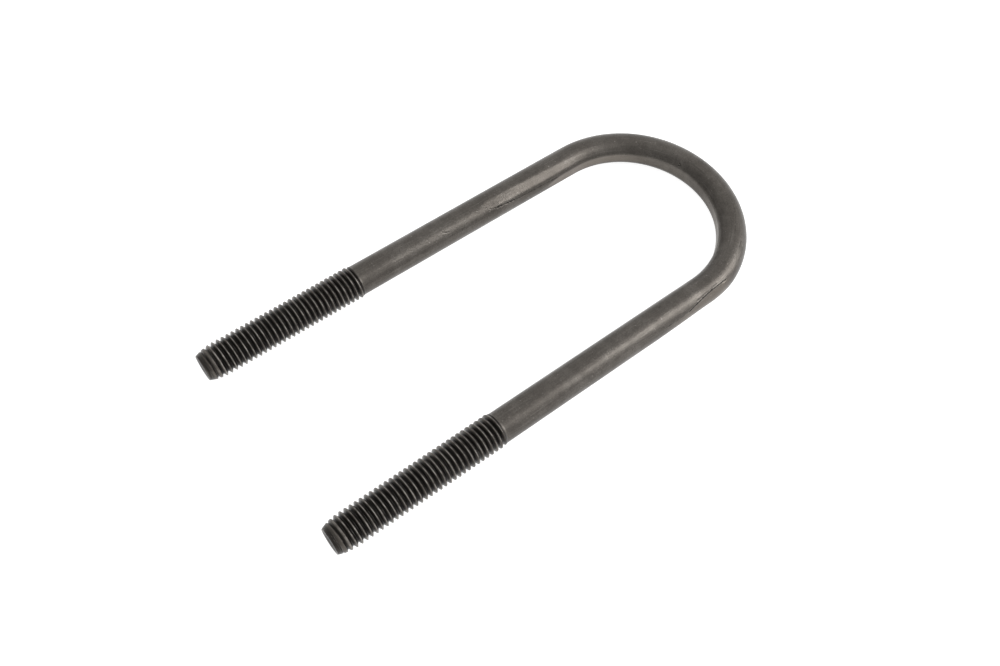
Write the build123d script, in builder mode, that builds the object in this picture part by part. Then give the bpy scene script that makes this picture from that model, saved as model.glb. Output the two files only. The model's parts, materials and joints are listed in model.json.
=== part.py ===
"""U-bolt: one round steel bar bent to a U, with a rolled M10 x 1.5 thread on the end of each leg.

Millimetres. The U lies in the XY plane. The origin is the centre of the bend, the bend is towards +Y and
the threaded ends point along -Y.
"""

from build123d import *
from math import atan, atan2, cos, degrees, radians, sin, tan
import os

os.makedirs("parts", exist_ok=True)

# Metric thread M10 x 1.5, right-hand, rolled
pitch = 1.5
crest_radius = 5.0
root_radius = 4.08
root_width = 0.26
flank_angle = 30
thread_lengths = {-1: 49.0, 1: 52.0}  # foot of the run-out cone to the tip, left leg and right leg

# Bar: the shank is the blank that the thread was rolled on, a little thicker than the pitch circle
shank_radius = 4.6
leg_spacing = 61.0
leg_lengths = {-1: 128.3, 1: 126.8}  # end of the bend to the tip

# End of the thread at the shank
runout_cone_length = 0.9
groove_start = 2.6
runout_rise = 0.55

# Tip: a dished end face, a cone, and the first turns of the thread, whose crests are not full yet
tip_radius = 3.75
tip_cone_radius = 4.45
tip_cone_length = 1.8
first_turns_length = 4.7
dish_radius = 3.0
dish_depth = 0.5

# Places that the bending tool pressed flat
saddle_land_radius = 26.2
saddle_land_run = 6.0
saddle_land_fade = 14.0
outer_flat_angles = {-1: 10.0, 1: 13.0}
outer_flat_runs = {-1: 8.0, 1: 10.0}

# Worked out from the sizes above
bend_radius = leg_spacing / 2
outer_radius = bend_radius + shank_radius
inner_radius = bend_radius - shank_radius
dish_sphere_radius = (dish_radius**2 + dish_depth**2) / (2 * dish_depth)
past = 0.06  # how far the groove's flanks run out past the crests, so that the cut is clean
groove_depth = crest_radius - root_radius + past
groove_width = root_width + 2 * groove_depth * tan(radians(flank_angle))
overrun = 3.0


def sweep_groove(path, mode):
    """Sweep the thread's V groove along a helix that starts on the +X side."""
    start = path.edges()[0]
    with BuildSketch(Plane(origin=start @ 0, x_dir=(1, 0, 0), z_dir=start % 0)) as groove:
        with BuildLine():
            Polyline(
                (0, -root_width / 2),
                (groove_depth, -groove_width / 2),
                (groove_depth, groove_width / 2),
                (0, root_width / 2),
                close=True,
            )
        make_face()
    sweep(groove.sketch, path=path.wires()[0], is_frenet=True, mode=mode)


def make_runout():
    """The last turn of the groove, which climbs out of the bar on a conical helix and meets the full depth."""
    cone = -degrees(atan(runout_rise / pitch))
    climb = Helix(
        pitch=pitch,
        height=pitch,
        radius=root_radius + runout_rise,
        center=(0, 0, groove_start - pitch),
        cone_angle=cone,
    )
    with BuildPart() as runout:
        with BuildLine() as path:
            add(climb)
        sweep_groove(path.line, Mode.ADD)
    full_depth = climb @ 1
    return runout.part.rotate(Axis.Z, -degrees(atan2(full_depth.Y, full_depth.X)))


def make_threaded_end(length):
    """A threaded end that stands on the XY plane, its run-out cone at the bottom and its tip at the top."""
    with BuildPart() as end:
        with Locations((0, 0, -overrun)):
            Cylinder(crest_radius, length + 3 * overrun, align=(Align.CENTER, Align.CENTER, Align.MIN))
        with BuildLine(mode=Mode.PRIVATE) as path:
            Helix(
                pitch=pitch,
                height=length - groove_start + overrun,
                radius=root_radius,
                center=(0, 0, groove_start),
            )
        sweep_groove(path.line, Mode.SUBTRACT)
        add(make_runout(), mode=Mode.SUBTRACT)
        with BuildSketch(Plane.XZ):
            with BuildLine():
                Polyline(
                    (0, 0),
                    (shank_radius, 0),
                    (crest_radius, runout_cone_length),
                    (crest_radius, length - first_turns_length),
                    (tip_cone_radius, length - tip_cone_length),
                    (tip_radius, length),
                    (0, length),
                    close=True,
                )
            make_face()
        revolve(axis=Axis.Z, mode=Mode.INTERSECT)
        with Locations((0, 0, length - dish_depth + dish_sphere_radius)):
            Sphere(dish_sphere_radius, mode=Mode.SUBTRACT)
    return end.part


threaded_ends = {side: make_threaded_end(length) for side, length in thread_lengths.items()}
plain_lengths = {side: leg_lengths[side] - thread_lengths[side] for side in thread_lengths}

with BuildPart() as u_bolt:
    # The plain bar: down one leg, round the bend and back
    with BuildLine() as centre_line:
        Line((-bend_radius, -plain_lengths[-1]), (-bend_radius, 0))
        ThreePointArc((-bend_radius, 0), (0, bend_radius), (bend_radius, 0))
        Line((bend_radius, 0), (bend_radius, -plain_lengths[1]))
    with BuildSketch(Plane(origin=(-bend_radius, -plain_lengths[-1], 0), z_dir=(0, 1, 0))):
        Circle(shank_radius)
    sweep(path=centre_line.wires()[0])

    # The land inside the bend, where the bar was drawn round the bending tool. It fades out down the legs.
    with BuildSketch(Plane.XY):
        with BuildLine():
            RadiusArc((-saddle_land_radius, 0), (saddle_land_radius, 0), saddle_land_radius)
            Polyline(
                (saddle_land_radius, 0),
                (saddle_land_radius, -saddle_land_run),
                (inner_radius, -saddle_land_fade),
                (-inner_radius, -saddle_land_fade),
                (-saddle_land_radius, -saddle_land_run),
                (-saddle_land_radius, 0),
            )
        make_face()
    extrude(amount=crest_radius, both=True, mode=Mode.SUBTRACT)

    # The flat on the outside of each leg where the bend ends, where the bar was pushed over
    for side, angle in outer_flat_angles.items():
        on_bend = (side * outer_radius * cos(radians(angle)), outer_radius * sin(radians(angle)))
        on_leg = (side * outer_radius, -outer_flat_runs[side])
        with BuildSketch(Plane.XY):
            with BuildLine():
                Polyline(
                    on_bend,
                    on_leg,
                    (side * (outer_radius + crest_radius), on_leg[1]),
                    (side * (outer_radius + crest_radius), on_bend[1]),
                    close=True,
                )
            make_face()
        extrude(amount=crest_radius, both=True, mode=Mode.SUBTRACT)

    # The threaded ends
    for side, end in threaded_ends.items():
        foot = Plane(origin=(side * bend_radius, -plain_lengths[side], 0), x_dir=(1, 0, 0), z_dir=(0, -1, 0))
        with Locations(foot):
            add(end)

u_bolt.part.label = "u_bolt"
export_step(u_bolt.part, "parts/u_bolt.step")
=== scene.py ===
"""U-bolt: the look of a bent steel bar with rolled threads, built around its CAD frame.

Laid out as a Blender add-on. Sizes are in metres. The U lies in the XY plane with the bend towards +Y.
"""

import json
from math import atan2, cos, degrees, hypot, pi, radians, sin, sqrt, tan

import bmesh
import bpy
from mathutils import Matrix, Vector, noise


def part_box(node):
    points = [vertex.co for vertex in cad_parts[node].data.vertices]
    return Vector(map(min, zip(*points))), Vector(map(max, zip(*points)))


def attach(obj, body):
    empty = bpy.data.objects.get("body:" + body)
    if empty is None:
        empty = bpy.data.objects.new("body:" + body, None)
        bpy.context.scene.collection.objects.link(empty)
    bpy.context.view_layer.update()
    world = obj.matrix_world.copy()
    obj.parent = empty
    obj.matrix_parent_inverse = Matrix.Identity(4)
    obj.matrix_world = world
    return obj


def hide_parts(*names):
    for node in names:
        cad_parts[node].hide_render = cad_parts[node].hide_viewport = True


bl_info = {
    "name": "U-Bolt",
    "version": (1, 0, 0),
    "blender": (4, 5, 0),
    "location": "View3D > Sidebar > U-Bolt",
    "description": "Makes a bent steel bar with a rolled thread on each leg, and a stage to see it on",
    "category": "Object",
}

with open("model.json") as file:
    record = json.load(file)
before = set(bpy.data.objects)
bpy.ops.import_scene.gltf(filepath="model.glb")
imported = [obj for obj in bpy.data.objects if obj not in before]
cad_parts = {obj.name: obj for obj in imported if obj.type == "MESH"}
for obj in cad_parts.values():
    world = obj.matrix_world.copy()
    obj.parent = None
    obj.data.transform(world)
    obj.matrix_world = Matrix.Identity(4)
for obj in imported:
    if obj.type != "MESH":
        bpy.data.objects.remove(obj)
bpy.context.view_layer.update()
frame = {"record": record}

MM = 0.001
NODE = "u_bolt"
BODY = "root"
mounts = {mount["name"]: mount for mount in frame["record"]["mounts"]}
node_low, node_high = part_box(NODE)
LEG_SPACING = mounts["studs"]["dims"]["spacing_x_mm"] * MM
CREST_RADIUS = mounts["studs"]["dims"]["stud_r_mm"] * MM
LAND_RADIUS = mounts["saddle"]["dims"]["r_mm"] * MM
SHANK_RADIUS = node_high.y - LEG_SPACING / 2


# ---------------------------------------------------------------- Sizes and colours a user may change


class UBoltSizes(bpy.types.PropertyGroup):
    """Sizes of the bar and of its threads"""

    leg_spacing: bpy.props.FloatProperty(
        name="Leg Spacing", description="Distance between the centres of the legs",
        default=LEG_SPACING, unit="LENGTH", precision=5)
    shank_radius: bpy.props.FloatProperty(
        name="Shank Radius", description="Radius of the plain bar",
        default=SHANK_RADIUS, unit="LENGTH", precision=5)
    left_leg: bpy.props.FloatProperty(
        name="Left Leg", description="From the end of the bend to the tip of the left leg",
        default=-node_low.y, unit="LENGTH", precision=5)
    right_leg: bpy.props.FloatProperty(
        name="Right Leg", description="From the end of the bend to the tip of the right leg",
        default=126.8 * MM, unit="LENGTH", precision=5)
    left_thread: bpy.props.FloatProperty(
        name="Left Thread", description="Length of the thread on the left leg",
        default=49.0 * MM, unit="LENGTH", precision=5)
    right_thread: bpy.props.FloatProperty(
        name="Right Thread", description="Length of the thread on the right leg",
        default=52.0 * MM, unit="LENGTH", precision=5)
    pitch: bpy.props.FloatProperty(
        name="Pitch", description="Advance of the thread in one turn",
        default=1.5 * MM, unit="LENGTH", precision=5)
    crest_radius: bpy.props.FloatProperty(
        name="Crest Radius", description="Radius over the thread's crests",
        default=CREST_RADIUS, unit="LENGTH", precision=5)
    root_radius: bpy.props.FloatProperty(
        name="Root Radius", description="Radius at the bottom of the thread",
        default=4.08 * MM, unit="LENGTH", precision=5)
    tip_radius: bpy.props.FloatProperty(
        name="Tip Radius", description="Radius of the end face",
        default=3.75 * MM, unit="LENGTH", precision=5)
    cone_radius: bpy.props.FloatProperty(
        name="Cone Radius", description="Radius at the top of the tip's cone",
        default=4.45 * MM, unit="LENGTH", precision=5)
    tip_cone: bpy.props.FloatProperty(
        name="Tip Cone", description="Length of the tip's cone",
        default=1.8 * MM, unit="LENGTH", precision=5)
    first_turns: bpy.props.FloatProperty(
        name="First Turns", description="Length over which the crests next to the tip aren't full",
        default=4.7 * MM, unit="LENGTH", precision=5)
    dish_depth: bpy.props.FloatProperty(
        name="Dish Depth", description="Depth of the hollow in each end face",
        default=0.5 * MM, unit="LENGTH", precision=5)
    land_radius: bpy.props.FloatProperty(
        name="Land Radius", description="Radius of the flattened land inside the bend",
        default=LAND_RADIUS, unit="LENGTH", precision=5)


class UBoltFinish(bpy.types.PropertyGroup):
    """Colours of the steel"""

    oxide: bpy.props.FloatVectorProperty(
        name="Oxide", description="Colour of the dark oxide skin",
        default=(0.080, 0.072, 0.064), subtype="COLOR", min=0, max=1)
    # Pale also paints light: the glints on the specks, a highlight along the thread's crests, and in part
    # the lips beside the grooves
    pale: bpy.props.FloatVectorProperty(
        name="Rubbed Steel", description="Colour where the oxide is rubbed thin",
        default=(0.33, 0.31, 0.285), subtype="COLOR", min=0, max=1)
    land: bpy.props.FloatVectorProperty(
        name="Pressed Steel", description="Colour of the places that the bending tool pressed",
        default=(0.26, 0.225, 0.19), subtype="COLOR", min=0, max=1)
    # The thread root colour also paints shade into the bottoms of the grooves that the bending tools left
    root: bpy.props.FloatVectorProperty(
        name="Thread Root", description="Colour down in the thread",
        default=(0.017, 0.0155, 0.014), subtype="COLOR", min=0, max=1)
    # The flank colour is painted light on the thread's flanks that face the tip, and on the edges next to
    # the crests
    flank: bpy.props.FloatVectorProperty(
        name="Thread Flank", description="Colour of the thread's flanks on the side of the tip",
        default=(0.082, 0.073, 0.064), subtype="COLOR", min=0, max=1)
    roughness: bpy.props.FloatProperty(
        name="Roughness", description="Roughness of the oxide skin",
        default=0.37, subtype="FACTOR", min=0, max=1)


class UBoltStage(bpy.types.PropertyGroup):
    """Floor, lights and camera"""

    floor: bpy.props.FloatVectorProperty(
        name="Floor", description="Colour of the floor",
        default=(0.45, 0.45, 0.45), subtype="COLOR", min=0, max=1)
    floor_glow: bpy.props.FloatProperty(
        name="Floor Glow", description="Light that the floor gives off, as a lit table does",
        default=0.9, min=0)
    key_power: bpy.props.FloatProperty(
        name="Key Power", description="Power of the large overhead light",
        default=4.0, unit="POWER", min=0)
    target: bpy.props.FloatVectorProperty(
        name="Target", description="Point on the floor that the camera looks at",
        default=(7.45 * MM, -56.27 * MM, 0), subtype="TRANSLATION", unit="LENGTH")
    distance: bpy.props.FloatProperty(
        name="Distance", description="From the camera to its target",
        default=266.97 * MM, unit="LENGTH", precision=4)
    heading: bpy.props.FloatProperty(
        name="Heading", description="Compass heading that the camera looks along, from +Y towards +X",
        default=radians(-47.39), unit="ROTATION")
    elevation: bpy.props.FloatProperty(
        name="Elevation", description="Height of the camera above the horizon, seen from its target",
        default=radians(58.91), unit="ROTATION")
    roll: bpy.props.FloatProperty(
        name="Roll", description="Turn of the camera about its line of sight",
        default=radians(5.98), unit="ROTATION")
    lens: bpy.props.FloatProperty(
        name="Lens", description="Focal length in millimetres on a 36 mm sensor",
        default=34.22)


# ---------------------------------------------------------------- Small helpers


def ramp(value, low, high):
    """0 at low, 1 at high and an even S between them"""
    t = min(1.0, max(0.0, (value - low) / (high - low)))
    return t * t * (3 - 2 * t)


def between(value, stops):
    """Straight lines through a list of (place, amount) stops"""
    if value <= stops[0][0]:
        return stops[0][1]
    for (a, first), (b, second) in zip(stops, stops[1:]):
        if value <= b:
            return first + (second - first) * (value - a) / (b - a)
    return stops[-1][1]


# ---------------------------------------------------------------- The thread

SEGMENTS = 72
FLANK = tan(radians(30))
# One pitch of the thread, as distances from the middle of a crest: the rolled seam, its lip, the rounded
# corner and the start of the flank, then the end of the flank, the rounded root and its bottom
SEAM_LIP = 0.040 * MM
CREST_CORNER = 0.085 * MM
CREST_HALF = 0.125 * MM
ROOT_START = 0.5625 * MM
ROOT_HALFWAY = 0.655 * MM
ROOT_ROUND = 0.2165 * MM
SEAM_DEPTH = 0.04 * MM
CORNER_DROP = 0.015 * MM
# The end of the thread at the shank: a lip that the rolling dies raised, then the groove, deep at once
LIP_HEIGHT = 0.14 * MM
LIP_PLACE = 0.16 * MM
LIP_HALF = 0.20 * MM
# Where each leg's crest starts round the bar, in steps of its spin
CREST_STARTS = {-1: 27, 1: 48}
# The dished end face, from its rim to its middle, as fractions of the tip's radius and of the dish's depth
DISH = ((0.985, 0.03), (0.94, 0.05), (0.86, 0.20), (0.75, 0.44), (0.60, 0.72), (0.39, 0.92), (0.16, 1.0))


def thread_radius(offset, sizes):
    """Radius of the full thread at a distance along the axis from the middle of the nearest crest"""
    root_end = sizes.root_radius + ROOT_ROUND / 2
    flank_top = root_end + (ROOT_START - CREST_HALF) / FLANK
    if offset >= ROOT_START:
        across = sizes.pitch / 2 - offset
        return sizes.root_radius + ROOT_ROUND - sqrt(max(0.0, ROOT_ROUND**2 - across**2))
    if offset >= CREST_HALF:
        return root_end + (ROOT_START - offset) / FLANK
    return between(offset, [
        (0, sizes.crest_radius - SEAM_DEPTH),
        (SEAM_LIP, sizes.crest_radius),
        (CREST_CORNER, sizes.crest_radius - CORNER_DROP),
        (CREST_HALF, flank_top),
    ])


def tip_envelope(from_tip, sizes):
    """The radius that nothing stands proud of near the tip: a cone, then crests that fill up slowly"""
    return between(from_tip, [
        (0, sizes.tip_radius),
        (sizes.tip_cone, sizes.cone_radius),
        (sizes.first_turns, sizes.crest_radius),
    ])


def widen_crest(offset, envelope, sizes):
    """Where the tip's envelope cuts a crest off, move its edges down the flanks, and the rest along"""
    flank_top = thread_radius(CREST_HALF, sizes)
    half = CREST_HALF + max(0.0, flank_top - envelope) * FLANK
    half = min(half, ROOT_HALFWAY)
    if offset <= CREST_HALF:
        return offset * half / CREST_HALF
    root = max(ROOT_START, half)
    if offset <= ROOT_START:
        return half + (root - half) * (offset - CREST_HALF) / (ROOT_START - CREST_HALF)
    end = sizes.pitch / 2
    return root + (end - root) * (offset - ROOT_START) / (end - ROOT_START)


def roll_point(vert, length, sizes):
    """Press one point of a threaded end to the thread's form, and return its depth below a crest, 0 to 1"""
    pitch = sizes.pitch
    height = vert.co.z
    angle = atan2(vert.co.y, vert.co.x)
    phase = (height - pitch * angle / (2 * pi)) % pitch
    offset = min(phase, pitch - phase)
    envelope = tip_envelope(length - height, sizes)
    last_height = length - 0.01 * MM
    if envelope < sizes.crest_radius and height < last_height:
        moved = widen_crest(offset, envelope, sizes)
        side = 1 if phase <= pitch / 2 else -1
        height = min(height + side * (moved - offset), last_height)
        offset = moved
        envelope = tip_envelope(length - height, sizes)
    radius = min(thread_radius(offset, sizes), envelope)
    proud = radius - sizes.shank_radius
    if proud > 0:
        proud *= ramp(height, 0.1 * pitch, 0.6 * pitch)
    else:
        proud *= ramp(height, 0.2 * pitch, 0.55 * pitch)
    lip = LIP_HEIGHT * (1 - ramp(abs(height - LIP_PLACE), 0, LIP_HALF))
    if lip > 0:
        proud = max(proud, lip)
    radius = sizes.shank_radius + proud
    vert.co = (radius * cos(angle), radius * sin(angle), height)
    unfilled = 0.15 * (sizes.crest_radius - envelope)
    return (envelope - radius + unfilled) / (sizes.crest_radius - sizes.root_radius)


def make_threaded_end(length, sizes):
    """A threaded end that stands on the XY plane, open at its foot and closed at its tip"""
    bm = bmesh.new()
    pitch = sizes.pitch
    stations = [0, SEAM_LIP, CREST_CORNER, CREST_HALF, ROOT_START, ROOT_HALFWAY, pitch / 2]
    stations += [pitch - place for place in reversed(stations[1:-1])]
    turns = int(length / pitch) + 4

    # A line up the side of the bar, with a point at each station of the thread, spun round as it climbs
    line = [bm.verts.new((sizes.crest_radius, 0, -2 * pitch))]
    for turn in range(turns):
        for place in stations[1:] + [pitch]:
            made = bmesh.ops.extrude_vert_indiv(bm, verts=line[-1:])
            line += made["verts"]
            line[-1].co.z = (turn - 2) * pitch + place
    bmesh.ops.spin(
        bm, geom=bm.verts[:] + bm.edges[:], cent=(0, 0, 0), axis=(0, 0, 1), dvec=(0, 0, pitch / SEGMENTS),
        angle=2 * pi, steps=SEGMENTS, use_merge=False, use_normal_flip=False, use_duplicate=False)
    bmesh.ops.remove_doubles(bm, verts=bm.verts, dist=0.004 * MM)
    for height, facing in ((0, -1), (length, 1)):
        bmesh.ops.bisect_plane(
            bm, geom=bm.verts[:] + bm.edges[:] + bm.faces[:], dist=0.002 * MM,
            plane_co=(0, 0, height), plane_no=(0, 0, facing), clear_outer=True)

    groove = bm.verts.layers.float.new("groove")
    for vert in bm.verts:
        vert[groove] = roll_point(vert, length, sizes)

    # Close the tip: a rounded rim, then the dish, loop by loop down to a point
    rim = [edge for edge in bm.edges if edge.is_boundary and edge.verts[0].co.z > length / 2]
    for width, depth in DISH:
        made = bmesh.ops.extrude_edge_only(bm, edges=rim)["geom"]
        verts = [item for item in made if isinstance(item, bmesh.types.BMVert)]
        for vert in verts:
            flat = vert.co.xy.normalized() * width * sizes.tip_radius
            vert.co = (flat.x, flat.y, length - depth * sizes.dish_depth)
            vert[groove] = ramp(depth, 0.04, 0.3)
        edges = [item for item in made if isinstance(item, bmesh.types.BMEdge)]
        rim = [edge for edge in edges if all(vert in verts for vert in edge.verts)]
    bmesh.ops.pointmerge(bm, verts=verts, merge_co=(0, 0, length - sizes.dish_depth))
    return bm


# ---------------------------------------------------------------- The bar

# Marks that the bending tools left. A place on the bar is how far along it is from the top of the bend, in
# millimetres and positive towards the right leg, and how far it is turned about the bar, in degrees from
# its outer side through the top to its inner side.


def on_bend(angle):
    """Millimetres along the bar of a place on the bend, from its angle about the bend's centre"""
    return LEG_SPACING / 2 * (pi / 2 - radians(angle)) / MM


def on_leg(side, distance):
    """Millimetres along the bar of a place on a leg, from its distance below the bend"""
    return side * (on_bend(0) + distance)


# Grooves: the places that each passes through, its depth and half of its width
GROOVES = (
    # The crease on the shoulder of the right leg, where the steel folded a little
    (((on_bend(12), 46), (on_bend(8), 51), (on_bend(1), 53), (on_leg(1, 3), 46), (on_leg(1, 7), 36),
      (on_leg(1, 9), 30)), 0.13, 0.26),
    (((on_leg(1, 8), 31), (on_leg(1, 14), 29), (on_leg(1, 18), 30)), 0.05, 0.30),
    # The ledge under the long flat on the left leg, from the notch where the flat starts
    (((on_leg(-1, 35.4), 115), (on_leg(-1, 33.0), 139), (on_leg(-1, 30), 146)), 0.035, 0.30),
    (((on_leg(-1, 31), 144), (on_leg(-1, 25), 151)), 0.10, 0.36),
    (((on_leg(-1, 25), 151), (on_leg(-1, 15), 156), (on_leg(-1, 8), 159)), 0.05, 0.34),
    # Scratches and nicks
    (((on_leg(-1, 50.7), 120), (on_leg(-1, 49.8), 129), (on_leg(-1, 48.5), 135)), 0.06, 0.22),
    (((on_leg(1, 16.9), 114), (on_leg(1, 16.2), 108), (on_leg(1, 15.6), 113)), 0.06, 0.20),
    (((on_bend(106), 144), (on_bend(104.4), 139), (on_bend(106), 135)), 0.12, 0.26),
    (((on_bend(72.5), 172), (on_bend(71), 168)), 0.10, 0.28),
    (((on_bend(117), 139), (on_bend(115), 135)), 0.06, 0.22),
    (((on_bend(66), 79), (on_bend(56), 85), (on_bend(43), 91)), 0.035, 0.20),
    (((on_bend(38), 60), (on_bend(33), 66)), 0.05, 0.22),
    (((on_bend(6), 62), (on_leg(1, 1), 57), (on_leg(1, 5), 50)), 0.05, 0.24),
)
# How far beyond a groove the mesh is finer
FINE_MARGIN = 0.9
GROOVE_LIP = 0.12
GROOVE_RAGGEDNESS = 0.7

# How strongly the land inside the bend is rubbed, by the angle about the bend
LAND_TINT = ((20, 0.8), (60, 0.6), (80, 0.15), (120, 0.15), (150, 0.9), (180, 1.0))
# Flat places: stops of (millimetres along a leg, negative down it from the bend, amount). Directions are in
# degrees about the bar and depths in millimetres
LAND_FADE = (5, 14)
LONG_FLAT_DIRECTION = ((-35, 115), (-25, 119), (-15, 125), (0, 135))
LONG_FLAT_DEPTH = ((-36, 0), (-34.3, 0.10), (-32.5, 0.2), (-15, 0.19), (-5, 0.1), (4, 0))
LONG_FLAT_TINT = 0.12
OUTER_FLAT_DEPTH = ((-8, 0), (0, 0.30), (3, 0.28), (6.1, 0))
OUTER_FLAT_TINT = 0.3
# The step on the right leg's shoulder, by distance down the leg: the line that it lies under, its depth
SHOULDER_LINE = ((-6, 52), (0, 52), (8, 33), (16, 30))
SHOULDER_DEPTH = ((-9, 0), (-4, 0.2), (0, 0.3), (5, 0.25), (12, 0.1), (20, 0))
SHOULDER_TINT = 0.7
# How the flats run into the round of the bar, and how uneven the bar is
SOFT_EDGE = 0.08 * MM
UNEVEN_HEIGHT = 0.012 * MM
UNEVEN_LENGTH = 3.5 * MM


def unbend(point, sizes):
    """Where a point is on the bar, had it never been bent: outward, up and along from the top of the bend"""
    radius = sizes.leg_spacing / 2
    if point.y > 0:
        along = radius * (pi / 2 - atan2(point.y, point.x))
        return Vector((hypot(point.x, point.y) - radius, point.z, along))
    side = 1 if point.x > 0 else -1
    return Vector((side * point.x - radius, point.z, side * (radius * pi / 2 - point.y)))


def bend_back(place, sizes):
    """The point that unbend says is at this place"""
    radius = sizes.leg_spacing / 2
    out, up, along = place
    quarter = radius * pi / 2
    if abs(along) < quarter:
        angle = pi / 2 - along / radius
        return Vector(((radius + out) * cos(angle), (radius + out) * sin(angle), up))
    side = 1 if along > 0 else -1
    return Vector((side * (radius + out), quarter - abs(along), up))


def groove_distance(along, turn, route, sizes):
    """Millimetres over the bar's surface from a place to a groove's route"""
    across = sizes.shank_radius / MM * radians(1)
    here = Vector((along, turn * across))
    nearest = 1000.0
    for (along_a, turn_a), (along_b, turn_b) in zip(route, route[1:]):
        first, second = Vector((along_a, turn_a * across)), Vector((along_b, turn_b * across))
        share = (here - first).dot(second - first) / (second - first).length_squared
        nearest = min(nearest, (here - first.lerp(second, min(1.0, max(0.0, share)))).length)
    return nearest


def groove_profile(along, turn, sizes):
    """Millimetres that the grooves sink this place, less the small lips that they push up beside them"""
    total = 0.0
    for route, depth, half_width in GROOVES:
        if min(p[0] for p in route) - 1 < along < max(p[0] for p in route) + 1:
            ragged = 1 + GROOVE_RAGGEDNESS * noise.noise(Vector((along / 0.9, turn / 11, 0)))
            far = groove_distance(along, turn, route, sizes) / (half_width * ragged)
            total += ragged * depth * (1 - ramp(far, 0, 1))
            total -= GROOVE_LIP * depth * (ramp(far, 0.6, 1.3) - ramp(far, 1.3, 2.4))
    return total


def press_depths(along, sizes):
    """The flat places at this distance along the bar: the direction in degrees, depth and tint of each"""
    leg = abs(along) / MM - on_bend(0)
    bend_angle = 90 - degrees(along / (sizes.leg_spacing / 2))
    places = []
    land = sizes.shank_radius - (sizes.leg_spacing / 2 - sizes.land_radius)
    places.append((180, land * (1 - ramp(leg, *LAND_FADE)), between(bend_angle, LAND_TINT)))
    if along < 0:
        direction = between(-leg, LONG_FLAT_DIRECTION)
        places.append((direction, between(-leg, LONG_FLAT_DEPTH) * MM, LONG_FLAT_TINT))
        places.append((0, between(-leg, OUTER_FLAT_DEPTH) * MM, OUTER_FLAT_TINT))
    return places


def press_bar(vert, sizes):
    """Press one point of the plain bar to its place, and return how much it is rubbed there and how far the
    grooves sink it: the steel darkens the grooves as painted shade and pales their lips
    """
    place = unbend(vert.co, sizes)
    along = place.z / MM
    angle = atan2(place.y, place.x)
    turn = degrees(angle)
    radius = sizes.shank_radius + UNEVEN_HEIGHT * noise.noise(place / UNEVEN_LENGTH)
    pressed = 0.0
    for direction, depth, tint in press_depths(place.z, sizes):
        facing = cos(angle - radians(direction))
        if depth > 0 and facing > 0.3:
            limit = (sizes.shank_radius - depth) / facing
            pressed = max(pressed, tint * ramp(radius - limit, 0, SOFT_EDGE))
            overlap = max(0.0, SOFT_EDGE - abs(radius - limit)) / SOFT_EDGE
            radius = min(radius, limit) - overlap**2 * SOFT_EDGE / 4
    if along > 0:
        line = between(along - on_bend(0), SHOULDER_LINE)
        depth = between(along - on_bend(0), SHOULDER_DEPTH) * MM
        step = ramp(line - turn, 0, 7) * (1 - ramp(-turn, 20, 110))
        radius -= depth * step
        pressed = max(pressed, SHOULDER_TINT * min(1.0, depth * step / (0.15 * MM)))
    sunk = groove_profile(along, turn, sizes)
    radius -= sunk * MM
    place.x = radius * cos(angle)
    place.y = radius * sin(angle)
    vert.co = bend_back(place, sizes)
    return pressed, sunk / 0.05


def refine_grooves(bm, sizes):
    """Divide the faces near a groove, so that they can take its shape"""
    near = set()
    for face in bm.faces:
        place = unbend(face.calc_center_median(), sizes)
        along, turn = place.z / MM, degrees(atan2(place.y, place.x))
        for route, _depth, _half_width in GROOVES:
            if min(p[0] for p in route) - 2 < along < max(p[0] for p in route) + 2:
                if groove_distance(along, turn, route, sizes) < FINE_MARGIN:
                    near.update(face.edges)
    bmesh.ops.subdivide_edges(bm, edges=list(near), cuts=3, use_grid_fill=True)


def run_ring(bm, ring, steps, step=(0, 0, 0), turn=0.0):
    """Carry a ring of the bar along a leg or round the bend, and return the ring at the end of it"""
    made = bmesh.ops.spin(
        bm, geom=ring, cent=(0, 0, 0), axis=(0, 0, 1), dvec=step, angle=turn, steps=steps,
        use_merge=False, use_normal_flip=False, use_duplicate=False)
    return made["geom_last"]


def open_edges(bm, low, high, side):
    """The edges of the open ring that lies across a leg between two places along it"""
    return [
        edge for edge in bm.edges
        if edge.is_boundary
        and all(low <= vert.co.y <= high and vert.co.x * side > 0 for vert in edge.verts)
    ]


def join_mesh(bm, other, matrix):
    """Add another bmesh to this one at a place"""
    other.transform(matrix)
    mesh = bpy.data.meshes.new("joined")
    other.to_mesh(mesh)
    other.free()
    bm.from_mesh(mesh)
    bpy.data.meshes.remove(mesh)


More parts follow.
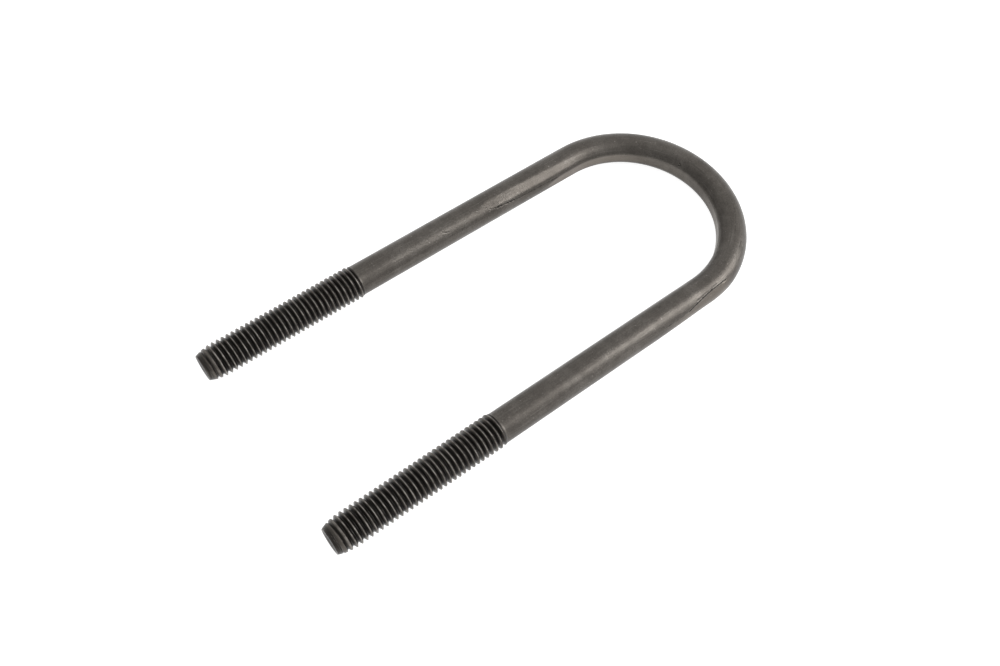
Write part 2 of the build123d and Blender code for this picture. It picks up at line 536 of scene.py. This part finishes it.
def make_bar_mesh(sizes):
    """The whole U-bolt as one closed mesh"""
    radius = sizes.leg_spacing / 2
    left_plain = sizes.left_leg - sizes.left_thread
    right_plain = sizes.right_leg - sizes.right_thread
    gap = 0.35 * MM
    fine_left, fine_right = 38 * MM, 20 * MM
    bm = bmesh.new()
    start = Matrix.Translation((-radius, -left_plain + gap, 0)) @ Matrix.Rotation(pi / 2, 4, "X")
    ring = bmesh.ops.create_circle(
        bm, cap_ends=False, radius=sizes.shank_radius, segments=SEGMENTS, matrix=start)
    ring = ring["verts"] + bm.edges[:]
    coarse = left_plain - gap - fine_left
    ring = run_ring(bm, ring, 26, step=(0, coarse / 26, 0))
    ring = run_ring(bm, ring, 76, step=(0, fine_left / 76, 0))
    ring = run_ring(bm, ring, 120, turn=-pi)
    ring = run_ring(bm, ring, 40, step=(0, -fine_right / 40, 0))
    coarse = right_plain - gap - fine_right
    run_ring(bm, ring, 38, step=(0, -coarse / 38, 0))
    refine_grooves(bm, sizes)
    bm.verts.layers.float.new("groove")
    pressed = bm.verts.layers.float.new("pressed")
    # How far the grooves sink each point: the steel paints shade into the grooves and pale onto the lips
    # beside them
    groove_shade_and_lip = bm.verts.layers.float.new("groove_shade_and_lip")
    for vert in bm.verts:
        vert[pressed], vert[groove_shade_and_lip] = press_bar(vert, sizes)

    for side, plain, length in ((-1, left_plain, sizes.left_thread), (1, right_plain, sizes.right_thread)):
        stand = Matrix(((1, 0, 0, side * radius), (0, 0, -1, -plain), (0, 1, 0, 0), (0, 0, 0, 1)))
        turn = Matrix.Rotation(CREST_STARTS[side] * 2 * pi / SEGMENTS, 4, "Z")
        join_mesh(bm, make_threaded_end(length, sizes), stand @ turn)
        rings = open_edges(bm, -plain - 0.1 * MM, -plain + gap + 0.1 * MM, side)
        bmesh.ops.bridge_loops(bm, edges=rings)
    bmesh.ops.dissolve_degenerate(bm, edges=bm.edges, dist=0.001 * MM)
    bmesh.ops.recalc_face_normals(bm, faces=bm.faces)

    straight = bm.verts.layers.float_vector.new("straight_bar")
    threaded = bm.verts.layers.float.new("threaded")
    faces_tip = bm.verts.layers.float.new("faces_tip")
    bm.normal_update()
    for vert in bm.verts:
        place = unbend(vert.co, sizes)
        vert[straight] = place
        leg = abs(place.z) - radius * pi / 2
        plain = right_plain if place.z > 0 else left_plain
        vert[threaded] = ramp(leg, plain, plain + 0.3 * MM)
        # How far each point faces down the leg towards the tip, which the steel uses to paint light on those
        # flanks
        vert[faces_tip] = -vert.normal.y
    mesh = bpy.data.meshes.new("u_bolt_bar")
    bm.to_mesh(mesh)
    bm.free()
    mesh.shade_smooth()
    return mesh


# ---------------------------------------------------------------- The steel


class NodeSheet:
    """Adds and links the nodes of one material"""

    def __init__(self, name):
        self.material = bpy.data.materials.new(name)
        self.material.use_nodes = True
        self.tree = self.material.node_tree
        self.tree.nodes.clear()

    def add(self, kind, values=None, **settings):
        node = self.tree.nodes.new("ShaderNode" + kind)
        for name, value in settings.items():
            setattr(node, name, value)
        for name, value in (values or {}).items():
            if isinstance(value, bpy.types.NodeSocket):
                self.tree.links.new(value, node.inputs[name])
            else:
                node.inputs[name].default_value = value
        return node

    def attribute(self, name):
        return self.add("Attribute", attribute_name=name)

    def noise(self, vector, scale, detail=3.0, roughness=0.5):
        values = {"Vector": vector, "Scale": scale, "Detail": detail, "Roughness": roughness}
        return self.add("TexNoise", values).outputs["Fac"]

    def stretched(self, vector, scale):
        return self.add("Mapping", {"Vector": vector, "Scale": scale}).outputs["Vector"]

    def math(self, operation, first, second=0.0, third=0.0, clamp=False):
        node = self.add("Math", {0: first, 1: second, 2: third}, operation=operation, use_clamp=clamp)
        return node.outputs["Value"]

    def steps(self, value, low, high, first=0.0, last=1.0):
        values = {"Value": value, "From Min": low, "From Max": high, "To Min": first, "To Max": last}
        node = self.add("MapRange", values, interpolation_type="SMOOTHSTEP")
        return node.outputs["Result"]

    def mix(self, amount, first, second, blend="MIX"):
        node = self.add("Mix", {0: amount, 6: first, 7: second}, data_type="RGBA", blend_type=blend)
        return node.outputs[2]


def make_steel(finish):
    """Dark oxide skin on a rolled bar: drawn streaks, specks with painted glints, rubbed lands, painted
    shade in the marks' grooves and blackened threads with painted light on the flanks that face the tip
    """
    sheet = NodeSheet("dark_rolled_steel")
    bar = sheet.attribute("straight_bar").outputs["Vector"]
    pressed = sheet.attribute("pressed").outputs["Fac"]
    groove = sheet.attribute("groove").outputs["Fac"]
    groove_shade_and_lip = sheet.attribute("groove_shade_and_lip").outputs["Fac"]
    threaded = sheet.attribute("threaded").outputs["Fac"]
    faces_tip = sheet.attribute("faces_tip").outputs["Fac"]

    cloud = sheet.noise(bar, 110, 5.0, 0.6)
    streak = sheet.noise(sheet.stretched(bar, (2600, 2600, 90)), 1.0, 3.0, 0.6)
    grain = sheet.noise(bar, 2600, 3.0, 0.6)
    speck = sheet.noise(bar, 1500, 1.0, 0.5)

    # The plain bar
    oxide = (*finish.oxide, 1)
    pale = (*finish.pale, 1)
    rubbed_and_glints = sheet.math("MULTIPLY", sheet.steps(cloud, 0.4, 0.75), 0.1)
    rubbed_and_glints = sheet.math("MULTIPLY_ADD", sheet.steps(streak, 0.5, 0.8), 0.12, rubbed_and_glints)
    # The bright specks mixed in here are painted glints; the cloud and the streaks are rubbed wear
    rubbed_and_glints = sheet.math("MULTIPLY_ADD", sheet.steps(speck, 0.70, 0.8), 0.3, rubbed_and_glints, clamp=True)
    colour = sheet.mix(rubbed_and_glints, oxide, pale)
    mottle = sheet.steps(sheet.noise(bar, 420, 4.0, 0.65), 0.38, 0.6, 0.88, 1.0)
    colour = sheet.mix(1.0, colour, mottle, "MULTIPLY")
    colour = sheet.mix(1.0, colour, sheet.steps(grain, 0.32, 0.68, 0.87, 1.13), "MULTIPLY")
    colour = sheet.mix(sheet.math("MULTIPLY", pressed, 0.35), colour, (*finish.land, 1))
    # Painted shade: the bottoms of the grooves darken towards the thread root colour
    colour = sheet.mix(sheet.steps(groove_shade_and_lip, 0.2, 1.6, 0.0, 0.9), colour, (*finish.root, 1))
    # Pale lips beside the grooves: rubbed steel, and partly a painted highlight
    colour = sheet.mix(sheet.steps(groove_shade_and_lip, -0.1, -0.7, 0.0, 0.4), colour, pale)

    # The thread: black grooves, painted light that makes the flanks facing the tip browner, and pale broken
    # lines along the crests, partly worn oxide and partly a painted highlight
    lap = sheet.noise(sheet.stretched(bar, (160, 160, 9000)), 1.0, 3.0, 0.65)
    # Painted light: flanks whose normal points towards the tip get the lighter flank colour
    lit_flank = sheet.math("MULTIPLY", sheet.steps(faces_tip, 0.1, 0.8), sheet.steps(groove, 0.95, 0.2))
    lit_flank = sheet.math("MULTIPLY", lit_flank, sheet.steps(lap, 0.3, 0.65, 0.35, 1.0))
    lit_flank = sheet.math("MAXIMUM", lit_flank, sheet.steps(groove, 0.17, 0.09))
    thread = sheet.mix(lit_flank, (*finish.root, 1), (*finish.flank, 1))
    # Pale crest lines: worn oxide, and partly a painted highlight
    crest_wear_and_highlight = sheet.steps(sheet.noise(bar, 700, 3.0), 0.35, 0.68, 0.1, 1.0)
    crest = sheet.math("MULTIPLY", sheet.steps(groove, 0.08, 0.01), crest_wear_and_highlight)
    thread = sheet.mix(sheet.math("MULTIPLY", crest, 0.85), thread, pale)
    scuff = sheet.math("MULTIPLY", sheet.steps(lap, 0.56, 0.74), 0.4)
    thread = sheet.mix(scuff, thread, pale)
    colour = sheet.mix(threaded, colour, thread)

    rough = sheet.math("MULTIPLY_ADD", grain, 0.26, finish.roughness - 0.13)
    rough = sheet.math("MULTIPLY_ADD", sheet.steps(cloud, 0.4, 0.7), -0.06, rough, clamp=True)

    relief = sheet.math("MULTIPLY_ADD", streak, 0.4, grain)
    relief = sheet.math("MULTIPLY_ADD", sheet.steps(speck, 0.68, 0.8), -0.5, relief)
    relief = sheet.math("MULTIPLY_ADD", sheet.math("MULTIPLY", lap, threaded), 1.2, relief)
    bump = sheet.add("Bump", {"Strength": 0.8, "Distance": 0.06 * MM, "Height": relief})
    shader = sheet.add("BsdfPrincipled", {
        "Base Color": colour, "Metallic": 0.85, "Roughness": rough, "Normal": bump.outputs["Normal"],
        "Specular IOR Level": 0.3,
    })
    sheet.add("OutputMaterial", {"Surface": shader.outputs["BSDF"]})
    return sheet.material


class UBOLT_OT_make_bar(bpy.types.Operator):
    """Make the bent bar with its rolled threads"""

    bl_idname = "ubolt.make_bar"
    bl_label = "Make Bar"

    def execute(self, context):
        scene = context.scene
        mesh = make_bar_mesh(scene.ubolt_sizes)
        bar = bpy.data.objects.new("bent_bar", mesh)
        scene.collection.objects.link(bar)
        mesh.materials.append(make_steel(scene.ubolt_finish))
        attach(bar, BODY)
        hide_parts(NODE)
        return {"FINISHED"}


# ---------------------------------------------------------------- The stage

FLOOR_HALF = 3.0
LIT_POINT = Vector((0, -45 * MM, 0))
KEY_OFFSET = 0.8 * Vector((0.48, 0.67, 0.57))
KEY_SIZE = (0.40, 0.50)
# The white surroundings: the Y of a direction, and the strength there, where they are darkest and brightest
DARK_SIDE = (-0.9, 0.45)
BRIGHT_SIDE = (0.3, 1.15)


def add_light(name, place, aim, size, power):
    """A rectangular area light that faces a point"""
    data = bpy.data.lights.new(name, "AREA")
    data.shape = "RECTANGLE"
    data.size, data.size_y = size
    data.energy = power
    light = bpy.data.objects.new(name, data)
    light.location = place
    light.rotation_mode = "QUATERNION"
    light.rotation_quaternion = (aim - place).to_track_quat("-Z", "Y")
    bpy.context.scene.collection.objects.link(light)


class UBOLT_OT_make_stage(bpy.types.Operator):
    """Make the floor, the lights and the camera"""

    bl_idname = "ubolt.make_stage"
    bl_label = "Make Stage"

    def execute(self, context):
        scene = context.scene
        stage = scene.ubolt_stage
        sizes = scene.ubolt_sizes

        bm = bmesh.new()
        bmesh.ops.create_grid(bm, x_segments=1, y_segments=1, size=FLOOR_HALF)
        bmesh.ops.translate(bm, vec=(0, 0, -sizes.crest_radius - 0.01 * MM), verts=bm.verts)
        mesh = bpy.data.meshes.new("floor")
        bm.to_mesh(mesh)
        bm.free()
        floor = bpy.data.objects.new("floor", mesh)
        scene.collection.objects.link(floor)
        sheet = NodeSheet("pale_floor")
        shader = sheet.add("BsdfPrincipled", {
            "Base Color": (*stage.floor, 1), "Roughness": 0.8, "Specular IOR Level": 0.0,
            "Emission Color": (1, 1, 1, 1), "Emission Strength": stage.floor_glow,
        })
        sheet.add("OutputMaterial", {"Surface": shader.outputs["BSDF"]})
        mesh.materials.append(sheet.material)

        add_light("softbox", LIT_POINT + KEY_OFFSET, LIT_POINT, KEY_SIZE, stage.key_power)

        world = bpy.data.worlds.new("white_studio")
        world.use_nodes = True
        nodes, links = world.node_tree.nodes, world.node_tree.links
        direction = nodes.new("ShaderNodeTexCoord")
        axes = nodes.new("ShaderNodeSeparateXYZ")
        fall = nodes.new("ShaderNodeMapRange")
        fall.inputs["From Min"].default_value = DARK_SIDE[0]
        fall.inputs["From Max"].default_value = BRIGHT_SIDE[0]
        fall.inputs["To Min"].default_value = DARK_SIDE[1]
        fall.inputs["To Max"].default_value = BRIGHT_SIDE[1]
        links.new(direction.outputs["Generated"], axes.inputs["Vector"])
        links.new(axes.outputs["Y"], fall.inputs["Value"])
        links.new(fall.outputs["Result"], nodes["Background"].inputs["Strength"])
        nodes["Background"].inputs["Color"].default_value = (1, 1, 1, 1)
        scene.world = world
        scene.view_settings.view_transform = "Standard"

        data = bpy.data.cameras.new("camera")
        data.lens = stage.lens
        data.sensor_width = 36
        data.clip_start = 0.01
        camera = bpy.data.objects.new("camera", data)
        heading, elevation = stage.heading, stage.elevation
        sight = Vector((sin(heading) * cos(elevation), cos(heading) * cos(elevation), -sin(elevation)))
        camera.location = Vector(stage.target) - sight * stage.distance
        camera.rotation_mode = "QUATERNION"
        level = sight.to_track_quat("-Z", "Y").to_matrix()
        camera.rotation_quaternion = (level @ Matrix.Rotation(stage.roll, 3, "Z")).to_quaternion()
        scene.collection.objects.link(camera)
        scene.camera = camera
        return {"FINISHED"}


# ---------------------------------------------------------------- Panel and registration


class UBOLT_PT_panel(bpy.types.Panel):
    """U-bolt tools"""

    bl_label = "U-Bolt"
    bl_idname = "UBOLT_PT_panel"
    bl_space_type = "VIEW_3D"
    bl_region_type = "UI"
    bl_category = "U-Bolt"

    def draw(self, context):
        layout = self.layout
        for operator in (UBOLT_OT_make_bar, UBOLT_OT_make_stage):
            layout.operator(operator.bl_idname)
        for group in (context.scene.ubolt_sizes, context.scene.ubolt_finish, context.scene.ubolt_stage):
            box = layout.box()
            for name in group.bl_rna.properties.keys():
                if name not in ("rna_type", "name"):
                    box.prop(group, name)


classes = (UBoltSizes, UBoltFinish, UBoltStage, UBOLT_OT_make_bar, UBOLT_OT_make_stage, UBOLT_PT_panel)


def register():
    for cls in classes:
        bpy.utils.register_class(cls)
    bpy.types.Scene.ubolt_sizes = bpy.props.PointerProperty(type=UBoltSizes)
    bpy.types.Scene.ubolt_finish = bpy.props.PointerProperty(type=UBoltFinish)
    bpy.types.Scene.ubolt_stage = bpy.props.PointerProperty(type=UBoltStage)


def unregister():
    del bpy.types.Scene.ubolt_stage
    del bpy.types.Scene.ubolt_finish
    del bpy.types.Scene.ubolt_sizes
    for cls in reversed(classes):
        bpy.utils.unregister_class(cls)


def main():
    register()
    bpy.ops.ubolt.make_bar()
    bpy.ops.ubolt.make_stage()


if __name__ == "__main__":
    main()
